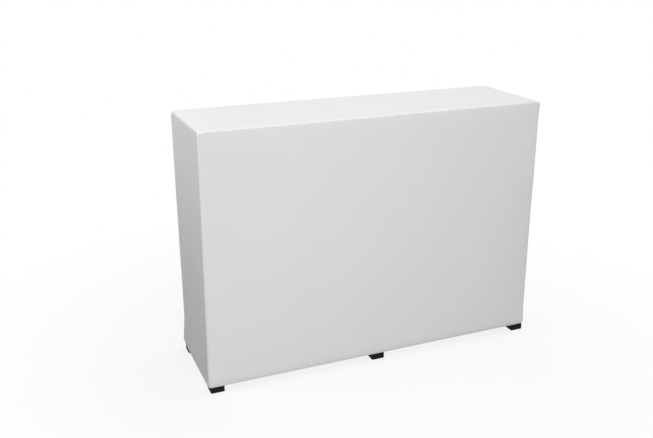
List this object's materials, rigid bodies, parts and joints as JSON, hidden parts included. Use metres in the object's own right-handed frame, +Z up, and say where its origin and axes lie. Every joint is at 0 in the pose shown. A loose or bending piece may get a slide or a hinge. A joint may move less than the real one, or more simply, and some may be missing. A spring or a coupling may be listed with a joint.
{
  "type": "folding portable bar",
  "caption": "Folding portable bar counter: taut white stretch cover over an accordion frame of ladder legs and scissor arms, with lift-off top boards, draw-out shelves and black feet.",
  "frame": {"origin": "on the floor under the middle of the open, dressed bar", "axes": "+X along the bar's length to the right as the customer sees it, +Y from the customer's side to the open rear, +Z up"},
  "size_m": [1.4, 0.4, 1],
  "materials": {
    "cover_fabric": "white elastane knit",
    "frame_coat": "light grey powder coat",
    "arm_aluminium": "satin",
    "black_nylon": "moulded nylon",
    "foot_plastic": "matte black moulding",
    "rivet_steel": "zinc plated",
    "white_board": "white faced board",
    "cleat_wood": "plain softwood"
  },
  "bodies": {
    "middle_frame": {"middle_front_leg": "frame_coat", "middle_rear_leg": "frame_coat", "middle_top_rail": "frame_coat", "middle_shelf_channel": "frame_coat", "middle_bottom_rail": "frame_coat", "middle_front_foot": "foot_plastic", "middle_rear_foot": "foot_plastic", "middle_rear_cap": "black_nylon", "middle_hub": "black_nylon", "left_inner_hub_pin": "rivet_steel", "right_inner_hub_pin": "rivet_steel"},
    "left_frame": {"left_front_leg": "frame_coat", "left_rear_leg": "frame_coat", "left_top_rail": "frame_coat", "left_shelf_channel": "frame_coat", "left_bottom_rail": "frame_coat", "left_front_foot": "foot_plastic", "left_rear_foot": "foot_plastic", "left_rear_cap": "black_nylon", "left_hub": "black_nylon", "left_outer_hub_pin": "rivet_steel"},
    "right_frame": {"right_front_leg": "frame_coat", "right_rear_leg": "frame_coat", "right_top_rail": "frame_coat", "right_shelf_channel": "frame_coat", "right_bottom_rail": "frame_coat", "right_front_foot": "foot_plastic", "right_rear_foot": "foot_plastic", "right_rear_cap": "black_nylon", "right_hub": "black_nylon", "right_outer_hub_pin": "rivet_steel"},
    "left_hub_arm": {"left_hub_arm": "arm_aluminium", "left_cross_pin": "rivet_steel"},
    "left_slider_arm": {"left_slider_arm": "arm_aluminium"},
    "right_hub_arm": {"right_hub_arm": "arm_aluminium", "right_cross_pin": "rivet_steel"},
    "right_slider_arm": {"right_slider_arm": "arm_aluminium"},
    "left_slider": {"left_slider": "black_nylon", "left_outer_slider_pin": "rivet_steel"},
    "middle_slider": {"middle_slider": "black_nylon", "left_inner_slider_pin": "rivet_steel", "right_inner_slider_pin": "rivet_steel"},
    "right_slider": {"right_slider": "black_nylon", "right_outer_slider_pin": "rivet_steel"},
    "left_clamp_knob": {"left_clamp_knob": "black_nylon"},
    "middle_clamp_knob": {"middle_clamp_knob": "black_nylon"},
    "right_clamp_knob": {"right_clamp_knob": "black_nylon"},
    "top": {"left_top_board": "white_board", "right_top_board": "white_board", "left_top_cleat": "cleat_wood", "right_top_cleat": "cleat_wood"},
    "left_shelf": {"left_shelf": "white_board"},
    "right_shelf": {"right_shelf": "white_board"},
    "cover": {"cover_top": "cover_fabric", "cover_front": "cover_fabric", "cover_left": "cover_fabric", "cover_right": "cover_fabric", "cover_rear_valance": "cover_fabric", "cover_left_return": "cover_fabric", "cover_right_return": "cover_fabric"}
  },
  "joints": [
    {"name": "fold", "type": "hinge", "parent": "middle_frame", "child": "left_hub_arm", "pos_m": [-0.0376, -0.17, 0.914], "axis": [0, -1, 0], "range_deg": [0, 51.4]},
    {"name": "left_cross", "type": "hinge", "parent": "left_hub_arm", "child": "left_slider_arm", "pos_m": [-0.333, -0.17, 0.69938], "axis": [0, 1, 0], "range_deg": [0, 102.8]},
    {"name": "left_outer_hub", "type": "hinge", "parent": "left_slider_arm", "child": "left_frame", "pos_m": [-0.6284, -0.17, 0.914], "axis": [0, -1, 0], "range_deg": [0, 51.4]},
    {"name": "left_outer_slider", "type": "hinge", "parent": "left_hub_arm", "child": "left_slider", "pos_m": [-0.6284, -0.17, 0.48476], "axis": [0, 1, 0], "range_deg": [0, 51.4]},
    {"name": "middle_inner_slider", "type": "hinge", "parent": "left_slider_arm", "child": "middle_slider", "pos_m": [-0.0376, -0.17, 0.48476], "axis": [0, -1, 0], "range_deg": [0, 51.4]},
    {"name": "right_inner_hub", "type": "hinge", "parent": "middle_frame", "child": "right_hub_arm", "pos_m": [0.0376, -0.17, 0.914], "axis": [0, 1, 0], "range_deg": [0, 51.4]},
    {"name": "right_cross", "type": "hinge", "parent": "right_hub_arm", "child": "right_slider_arm", "pos_m": [0.333, -0.17, 0.69938], "axis": [0, -1, 0], "range_deg": [0, 102.8]},
    {"name": "right_outer_hub", "type": "hinge", "parent": "right_slider_arm", "child": "right_frame", "pos_m": [0.6284, -0.17, 0.914], "axis": [0, 1, 0], "range_deg": [0, 51.4]},
    {"name": "right_outer_slider", "type": "hinge", "parent": "right_hub_arm", "child": "right_slider", "pos_m": [0.6284, -0.17, 0.48476], "axis": [0, -1, 0], "range_deg": [0, 51.4]},
    {"name": "left_clamp_turn", "type": "hinge", "parent": "left_slider", "child": "left_clamp_knob", "pos_m": [-0.666, -0.17, 0.48476], "axis": [0, 1, 0], "range_deg": [0, 180]},
    {"name": "middle_clamp_turn", "type": "hinge", "parent": "middle_slider", "child": "middle_clamp_knob", "pos_m": [0, -0.17, 0.48476], "axis": [0, 1, 0], "range_deg": [0, 180]},
    {"name": "right_clamp_turn", "type": "hinge", "parent": "right_slider", "child": "right_clamp_knob", "pos_m": [0.666, -0.17, 0.48476], "axis": [0, 1, 0], "range_deg": [0, 180]},
    {"name": "top_lift", "type": "slide", "parent": "middle_frame", "child": "top", "axis": [0, 0, 1], "range_m": [0, 0.25]},
    {"name": "cover_lift", "type": "slide", "parent": "top", "child": "cover", "axis": [0, 0, 1], "range_m": [0, 1.05]},
    {"name": "left_shelf_draw", "type": "slide", "parent": "middle_frame", "child": "left_shelf", "axis": [0, 1, 0], "range_m": [0, 0.36]},
    {"name": "right_shelf_draw", "type": "slide", "parent": "middle_frame", "child": "right_shelf", "axis": [0, 1, 0], "range_m": [0, 0.36]}
  ],
  "couplings": [
    {"joint": "left_cross", "follows": "fold", "ratio": 2},
    {"joint": "left_outer_hub", "follows": "fold", "ratio": 1},
    {"joint": "left_outer_slider", "follows": "fold", "ratio": 1},
    {"joint": "middle_inner_slider", "follows": "fold", "ratio": 1},
    {"joint": "right_inner_hub", "follows": "fold", "ratio": 1},
    {"joint": "right_cross", "follows": "fold", "ratio": 2},
    {"joint": "right_outer_hub", "follows": "fold", "ratio": 1},
    {"joint": "right_outer_slider", "follows": "fold", "ratio": 1}
  ]
}
